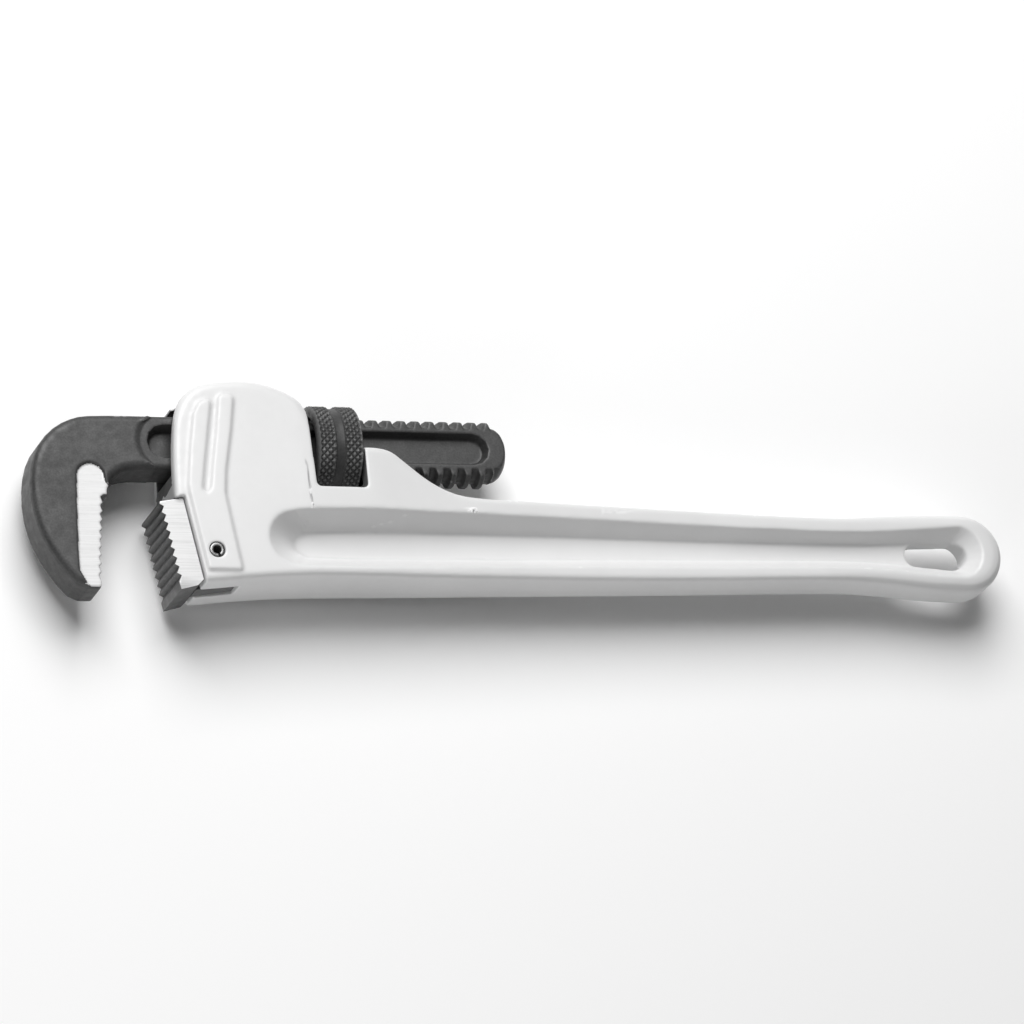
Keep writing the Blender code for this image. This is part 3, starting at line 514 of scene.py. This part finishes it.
def makePin(spec):
    centre = (pinLow + pinHigh) / 2
    wall = [(spec["inner"], pinLow.z), (spec["outer"], pinLow.z),
            (spec["outer"], pinHigh.z), (spec["inner"], pinHigh.z)]
    start = math.radians(spec["split"] / 2 - 90)
    mesh = bpy.data.meshes.new("rollPin")
    points = [Vector((centre.x + r * mm * math.cos(start), centre.y + r * mm * math.sin(start), z))
              for r, z in wall]
    mesh.from_pydata(points, [], [(0, 1, 2, 3)])
    piece = bpy.data.objects.new("rollPin", mesh)
    bpy.context.scene.collection.objects.link(piece)
    pick(piece)
    bpy.ops.object.mode_set(mode="EDIT")
    bpy.ops.mesh.select_all(action="SELECT")
    bpy.ops.mesh.spin(steps=spec["steps"], angle=math.radians(360 - spec["split"]), center=centre,
                      axis=(0, 0, 1))
    bpy.ops.mesh.select_all(action="SELECT")
    bpy.ops.mesh.normals_make_consistent(inside=False)
    bpy.ops.object.mode_set(mode="OBJECT")
    applyModifier(piece, "BEVEL", width=spec["edge"], segments=2, limit_method="ANGLE",
                  angle_limit=math.radians(40), use_clamp_overlap=True)
    shadeSmooth(piece, 35)
    piece.data.materials.append(springSteel)
    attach(piece, "housing")
    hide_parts("heel_jaw_pin")
    return piece


makePin(pinSpec)
print("roll pin made")


# The two springs inside the head.
coilSpec = {"wire": 0.48, "wireSides": 14, "turns": 2.5, "steps": 90}


def makeCoil(spec):
    low, high = (Vector(corner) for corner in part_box("coil_spring"))
    centre = (low + high) / 2
    wire = spec["wire"] * mm
    reach = (high.x - low.x) / 2 - wire
    bpy.ops.mesh.primitive_circle_add(vertices=spec["wireSides"], radius=wire, fill_type="NOTHING",
                                      location=(reach, 0, 0))
    piece = bpy.context.object
    piece.name = "coilWire"
    piece.data.name = "coilWire"
    bpy.ops.object.transform_apply(location=True, rotation=True, scale=True)
    # screwed about its own Y axis, then moved to its pocket
    applyModifier(piece, "SCREW", axis="Y", angle=math.radians(360 * spec["turns"]), steps=spec["steps"],
                  render_steps=spec["steps"], screw_offset=high.y - low.y - 2 * wire,
                  use_merge_vertices=False)
    bpy.ops.object.mode_set(mode="EDIT")
    bpy.ops.mesh.select_all(action="SELECT")
    bpy.ops.mesh.fill_holes(sides=spec["wireSides"])
    bpy.ops.mesh.select_all(action="SELECT")
    bpy.ops.mesh.normals_make_consistent(inside=False)
    bpy.ops.object.mode_set(mode="OBJECT")
    piece.data.transform(Matrix.Translation((centre.x, low.y + wire, centre.z)))
    shadeSmooth(piece, 50)
    piece.data.materials.append(springSteel)
    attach(piece, "housing")
    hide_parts("coil_spring")
    return piece


leafSpec = {"thick": 0.85, "bow": 1.1, "cuts": 24, "edge": 0.12 * mm}


def makeLeaf(spec):
    low, high = (Vector(corner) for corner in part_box("flat_spring"))
    thick = spec["thick"] * mm
    middle = Vector(((low.x + high.x) / 2, low.y + thick / 2, (low.z + high.z) / 2))
    bpy.ops.mesh.primitive_cube_add(size=1.0, location=middle, scale=(high.x - low.x, thick, high.z - low.z))
    piece = bpy.context.object
    piece.name = "leafStrip"
    piece.data.name = "leafStrip"
    bpy.ops.object.transform_apply(location=True, rotation=True, scale=True)
    bpy.ops.object.mode_set(mode="EDIT")
    shape = bmesh.from_edit_mesh(piece.data)
    for edge in shape.edges:
        run = edge.verts[1].co - edge.verts[0].co
        edge.select_set(abs(run.x) > 10 * mm)
    bmesh.update_edit_mesh(piece.data)
    bpy.ops.mesh.subdivide(number_cuts=spec["cuts"])
    bpy.ops.object.mode_set(mode="OBJECT")
    for vertex in piece.data.vertices:
        along = (vertex.co.x - low.x) / (high.x - low.x)
        vertex.co.y += spec["bow"] * mm * max(math.sin(math.pi * along), 0.0) ** 0.7
    applyModifier(piece, "BEVEL", width=spec["edge"], segments=2, limit_method="ANGLE",
                  angle_limit=math.radians(50), use_clamp_overlap=True)
    shadeSmooth(piece, 40)
    piece.data.materials.append(springSteel)
    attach(piece, "rocker")
    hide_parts("flat_spring")
    return piece


makeCoil(coilSpec)
makeLeaf(leafSpec)
print("springs made")


# Floor, light and camera.
studioSpec = {
    "floorSize": 6.0, "floorGrey": 0.97,
    "skyGrey": 1.0, "skyStrength": 0.08,
    "lights": [   # name, place, size, power, all aimed at the wrench
        ("topSoftbox", (-0.30, 0.92, 1.32), 1.3, 35.0),
        ("lowSoftbox", (-0.55, -0.85, 0.26), 0.4, 2.4),
    ],
}


def makeStudio(spec):
    deselectAll()
    bpy.ops.mesh.primitive_plane_add(size=spec["floorSize"], location=(0, 0, 0))
    floor = bpy.context.object
    floor.name = "studioFloor"
    material, nodes, links, shader = newMaterial("paleFloor", 0.8, 0.0)
    shader.inputs["Base Color"].default_value = (spec["floorGrey"],) * 3 + (1.0,)
    shader.inputs["Specular IOR Level"].default_value = 0.1
    floor.data.materials.append(material)
    world = bpy.data.worlds.new("studioSky")
    world.use_nodes = True
    sky = world.node_tree.nodes["Background"]
    sky.inputs["Color"].default_value = (spec["skyGrey"],) * 3 + (1.0,)
    sky.inputs["Strength"].default_value = spec["skyStrength"]
    bpy.context.scene.world = world
    for name, place, size, power in spec["lights"]:
        bpy.ops.object.light_add(type="AREA", location=place)
        light = bpy.context.object
        light.name = name
        light.data.shape = "SQUARE"
        light.data.size = size
        light.data.energy = power
        light.rotation_mode = "QUATERNION"
        light.rotation_quaternion = Vector(place).to_track_quat("Z", "Y")
    bpy.context.scene.view_settings.view_transform = "Standard"


cameraSpec = {
    "aim": (-0.0032, -0.0037, 0.0157),
    "azimuth": -45.20, "elevation": 61.59, "roll": 42.59,
    "distance": 2.168, "lens": 222.7,
}


def makeCamera(spec):
    azimuth, elevation = math.radians(spec["azimuth"]), math.radians(spec["elevation"])
    back = Vector((math.sin(azimuth) * math.cos(elevation), -math.cos(azimuth) * math.cos(elevation),
                   math.sin(elevation)))
    bpy.ops.object.camera_add(location=Vector(spec["aim"]) + back * spec["distance"])
    camera = bpy.context.object
    camera.name = "studioCamera"
    camera.data.lens = spec["lens"]
    camera.rotation_mode = "QUATERNION"
    turned = Matrix.Rotation(math.radians(spec["roll"]), 4, back)
    level = back.to_track_quat("Z", "Y").to_matrix().to_4x4()
    camera.rotation_quaternion = (turned @ level).to_quaternion()
    bpy.context.scene.camera = camera


makeStudio(studioSpec)
makeCamera(cameraSpec)
print("studio and camera set")
